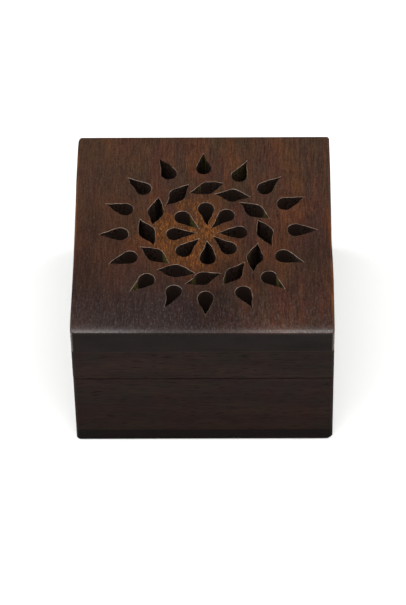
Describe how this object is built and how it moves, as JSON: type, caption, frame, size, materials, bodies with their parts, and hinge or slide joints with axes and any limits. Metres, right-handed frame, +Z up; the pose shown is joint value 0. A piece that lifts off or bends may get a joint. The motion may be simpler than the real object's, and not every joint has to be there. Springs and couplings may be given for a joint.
{
  "type": "hinged wooden box",
  "caption": "Small square hardwood box with a thick pierced sunburst lid on brass butt hinges, lined with felt for dice.",
  "frame": {"origin": "middle of the underside, which rests on the table", "axes": "+Z up, the front faces -Y and the hinges are at +Y, +X to the right seen from the front"},
  "size_m": [0.1016, 0.102, 0.0673],
  "materials": {
    "wood_top_board": "dark reddish brown stained hardwood, satin",
    "wood_walls": "dark brown stained hardwood, satin",
    "wood_bottom_board": "nearly black stained hardwood, satin",
    "felt": "dark wine felt",
    "hinge_brass": "rolled brass, slightly dulled",
    "tack_brass": "cut brass, slightly dulled",
    "brad_steel": "dull cut steel"
  },
  "bodies": {
    "base": {"base_front_wall": "wood_walls", "base_back_wall": "wood_walls", "base_left_wall": "wood_walls", "base_right_wall": "wood_walls", "base_bottom_board": "wood_bottom_board", "floor_lining": "felt", "base_corner_brads": "brad_steel", "bottom_board_brads": "brad_steel", "left_hinge_base_leaf": "hinge_brass", "right_hinge_base_leaf": "hinge_brass", "left_hinge_pin": "hinge_brass", "right_hinge_pin": "hinge_brass", "hinge_base_tacks": "tack_brass"},
    "lid": {"lid_top_board": "wood_top_board", "lid_front_wall": "wood_walls", "lid_back_wall": "wood_walls", "lid_left_wall": "wood_walls", "lid_right_wall": "wood_walls", "lid_corner_brads": "brad_steel", "left_hinge_lid_leaf": "hinge_brass", "right_hinge_lid_leaf": "hinge_brass", "hinge_lid_tacks": "tack_brass"}
  },
  "joints": [
    {"name": "lid_hinge", "type": "hinge", "parent": "base", "child": "lid", "pos_m": [0, 0.04965, 0.0382], "axis": [-1, 0, 0], "range_deg": [0, 100]}
  ]
}
